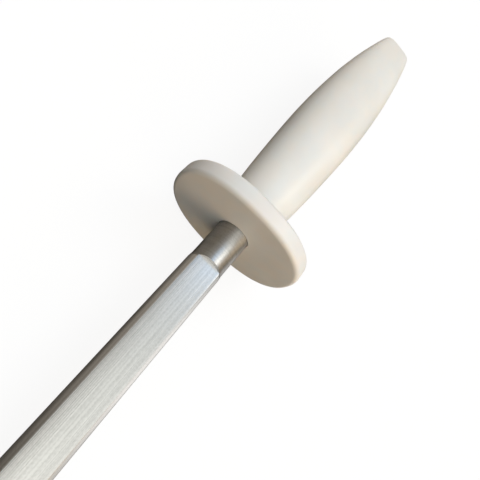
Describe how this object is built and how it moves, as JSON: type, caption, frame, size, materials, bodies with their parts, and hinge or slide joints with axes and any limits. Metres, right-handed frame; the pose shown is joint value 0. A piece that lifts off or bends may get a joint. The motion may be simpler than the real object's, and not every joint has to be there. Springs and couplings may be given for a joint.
{
  "type": "knife sharpening steel",
  "caption": "Butcher's knife sharpening steel with a grooved, flat-sided round rod, an oval guard and a barrel-shaped plastic handle.",
  "frame": {"origin": "under the middle of the whole length, level with the lowest point of the guard's rim", "axes": "+X along the steel from its tip to the butt, +Y across the guard's wide side, +Z square to the steel's upper flat"},
  "size_m": [0.437, 0.051, 0.0385],
  "materials": {
    "ground_steel": "ground lengthwise, neck polished",
    "seal_rubber": "matt black",
    "guard_plastic": "off-white, satin moulded",
    "handle_plastic": "off-white, satin moulded",
    "washer_steel": "plain stamped",
    "nut_brass": "turned",
    "plug_plastic": "off-white, satin moulded"
  },
  "bodies": {
    "root": {"steel_rod": "ground_steel", "neck_seal": "seal_rubber", "guard": "guard_plastic", "handle": "handle_plastic", "tang_washer": "washer_steel", "tang_nut": "nut_brass", "butt_plug": "plug_plastic"}
  },
  "joints": []
}
